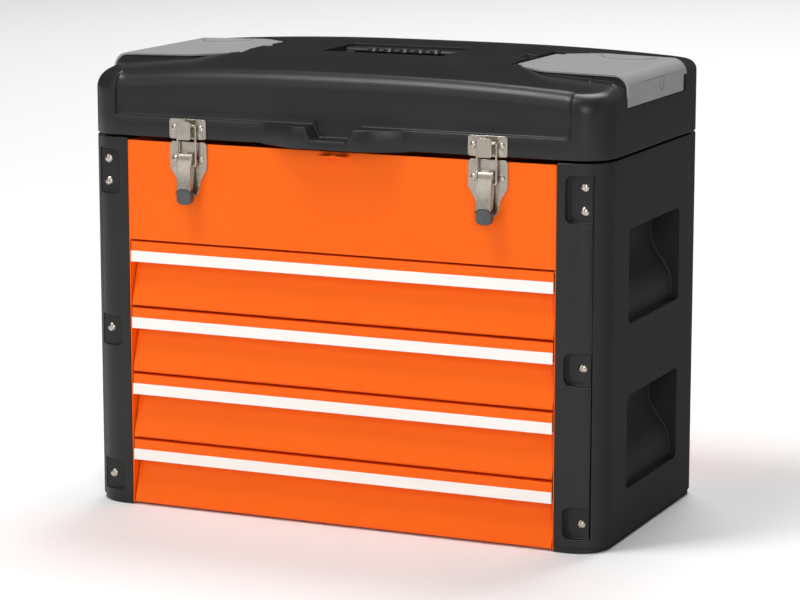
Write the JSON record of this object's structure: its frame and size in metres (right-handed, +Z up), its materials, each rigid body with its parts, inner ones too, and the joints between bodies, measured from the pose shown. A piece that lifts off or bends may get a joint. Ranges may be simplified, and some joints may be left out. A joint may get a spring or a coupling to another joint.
{
  "type": "portable tool box with drawers",
  "caption": "Portable tool box: steel body with sliding drawers and a top bay, moulded end frames, hinged lid with toggle latches, sunk carrying handle and small-parts compartments.",
  "frame": {"origin": "on the floor, under the middle of the whole width and depth", "axes": "+X to the right along the width, front with the drawers facing -Y, +Z up"},
  "size_m": [0.5016, 0.2933, 0.4165],
  "materials": {
    "black_plastic": "fine-textured black moulded polypropylene",
    "orange_steel": "satin orange powder coat",
    "nickel_steel": "nickel-plated pressed steel",
    "grey_plastic": "light grey moulded plastic, satin",
    "white_strip": "white-coated aluminium profile",
    "zinc_steel": "galvanised sheet steel",
    "black_tip": "black dipped grip"
  },
  "bodies": {
    "body": {"left_side_panel": "orange_steel", "right_side_panel": "orange_steel", "back_panel": "orange_steel", "bottom_panel": "orange_steel", "bay_floor": "orange_steel", "front_fascia": "orange_steel", "left_end_frame": "black_plastic", "right_end_frame": "black_plastic", "frame_rivets": "nickel_steel", "drawer_runners": "zinc_steel", "hinge_body_leaves": "nickel_steel", "hinge_pins": "nickel_steel", "latch_bases": "nickel_steel", "latch_pins": "nickel_steel", "plate_rivets": "nickel_steel"},
    "lid": {"lid_shell": "black_plastic", "hinge_lid_leaves": "nickel_steel", "latch_catches": "nickel_steel", "lid_rivets": "nickel_steel", "cover_keepers": "black_plastic"},
    "handle": {"handle": "black_plastic"},
    "left_cover": {"left_cover": "grey_plastic"},
    "right_cover": {"right_cover": "grey_plastic"},
    "left_lever": {"left_lever": "nickel_steel", "left_lever_tip": "black_tip"},
    "left_bail": {"left_bail": "nickel_steel"},
    "right_lever": {"right_lever": "nickel_steel", "right_lever_tip": "black_tip"},
    "right_bail": {"right_bail": "nickel_steel"},
    "drawer_1": {"drawer_1_tray": "zinc_steel", "drawer_1_front": "orange_steel", "drawer_1_strip": "white_strip", "drawer_1_rails": "zinc_steel"},
    "drawer_2": {"drawer_2_tray": "zinc_steel", "drawer_2_front": "orange_steel", "drawer_2_strip": "white_strip", "drawer_2_rails": "zinc_steel"},
    "drawer_3": {"drawer_3_tray": "zinc_steel", "drawer_3_front": "orange_steel", "drawer_3_strip": "white_strip", "drawer_3_rails": "zinc_steel"},
    "drawer_4": {"drawer_4_tray": "zinc_steel", "drawer_4_front": "orange_steel", "drawer_4_strip": "white_strip", "drawer_4_rails": "zinc_steel"}
  },
  "joints": [
    {"name": "lid_hinge", "type": "hinge", "parent": "body", "child": "lid", "pos_m": [0, 0.14265, 0.3415], "axis": [-1, 0, 0], "range_deg": [0, 100]},
    {"name": "drawer_1_slide", "type": "slide", "parent": "body", "child": "drawer_1", "axis": [0, -1, 0], "range_m": [0, 0.17]},
    {"name": "drawer_2_slide", "type": "slide", "parent": "body", "child": "drawer_2", "axis": [0, -1, 0], "range_m": [0, 0.17]},
    {"name": "drawer_3_slide", "type": "slide", "parent": "body", "child": "drawer_3", "axis": [0, -1, 0], "range_m": [0, 0.17]},
    {"name": "drawer_4_slide", "type": "slide", "parent": "body", "child": "drawer_4", "axis": [0, -1, 0], "range_m": [0, 0.17]},
    {"name": "handle_pivot", "type": "hinge", "parent": "lid", "child": "handle", "pos_m": [0, -0.02365, 0.4075], "axis": [1, 0, 0], "range_deg": [0, 90]},
    {"name": "left_cover_hinge", "type": "hinge", "parent": "lid", "child": "left_cover", "pos_m": [-0.1368, 0.00335, 0.4104], "axis": [0, 1, 0], "range_deg": [0, 100]},
    {"name": "right_cover_hinge", "type": "hinge", "parent": "lid", "child": "right_cover", "pos_m": [0.1368, 0.00335, 0.4104], "axis": [0, -1, 0], "range_deg": [0, 100]},
    {"name": "left_lever_pivot", "type": "hinge", "parent": "body", "child": "left_lever", "pos_m": [-0.1445, -0.13615, 0.327], "axis": [-1, 0, 0], "range_deg": [0, 120]},
    {"name": "left_bail_pivot", "type": "hinge", "parent": "left_lever", "child": "left_bail", "pos_m": [-0.1445, -0.13525, 0.319], "axis": [-1, 0, 0], "range_deg": [-105, 0]},
    {"name": "right_lever_pivot", "type": "hinge", "parent": "body", "child": "right_lever", "pos_m": [0.1445, -0.13615, 0.327], "axis": [-1, 0, 0], "range_deg": [0, 120]},
    {"name": "right_bail_pivot", "type": "hinge", "parent": "right_lever", "child": "right_bail", "pos_m": [0.1445, -0.13525, 0.319], "axis": [-1, 0, 0], "range_deg": [-105, 0]}
  ],
  "couplings": [
    {"joint": "left_bail_pivot", "follows": "left_lever_pivot", "ratio": -0.87},
    {"joint": "right_bail_pivot", "follows": "right_lever_pivot", "ratio": -0.87}
  ]
}
